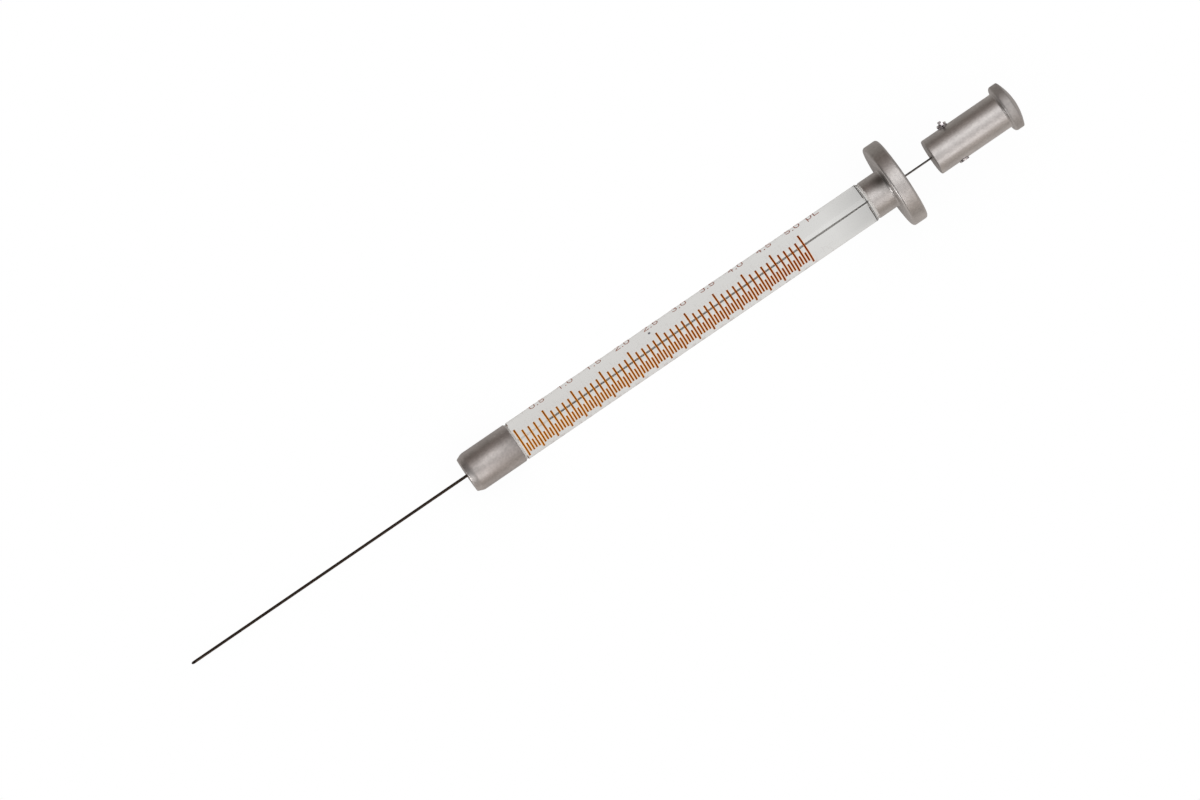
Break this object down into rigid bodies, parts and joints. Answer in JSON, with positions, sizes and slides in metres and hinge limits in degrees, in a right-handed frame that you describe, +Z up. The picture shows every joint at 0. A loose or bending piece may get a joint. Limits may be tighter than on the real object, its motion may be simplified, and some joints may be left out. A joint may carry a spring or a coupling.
{
  "type": "microsyringe",
  "caption": "Glass microsyringe for liquid samples: a long cemented needle, a graduated precision-bore barrel with finger flange, and a wire plunger with a thumb button.",
  "frame": {"origin": "on the surface it lies on, under the middle of the whole syringe's length", "axes": "+X towards the plunger's button, +Z up. The syringe's own axis rises by 2.83 degrees from the needle to the button, as it does at rest on its flange and hub"},
  "size_m": [0.1568, 0.0146, 0.0147],
  "materials": {
    "glass": "clear polished",
    "print": "fired brown enamel",
    "matt_metal": "bead blasted, satin",
    "needle_steel": "dark drawn tube",
    "wire_steel": "drawn and ground",
    "screw_steel": "bright plated",
    "cement": "pale epoxy cement"
  },
  "bodies": {
    "barrel": {"glass_barrel": "glass", "scale_lines": "print", "scale_numbers": "print", "needle": "needle_steel", "needle_hub": "matt_metal", "needle_cement": "cement", "hub_cement": "cement", "barrel_flange": "matt_metal", "flange_cement": "cement"},
    "plunger": {"plunger_wire": "wire_steel", "plunger_button": "matt_metal", "setscrew_left": "screw_steel", "setscrew_right": "screw_steel"}
  },
  "joints": [
    {"name": "plunger_slide", "type": "slide", "parent": "barrel", "child": "plunger", "axis": [0.9988, 0, 0.0493], "range_m": [-0.00541, 0.04869]}
  ]
}
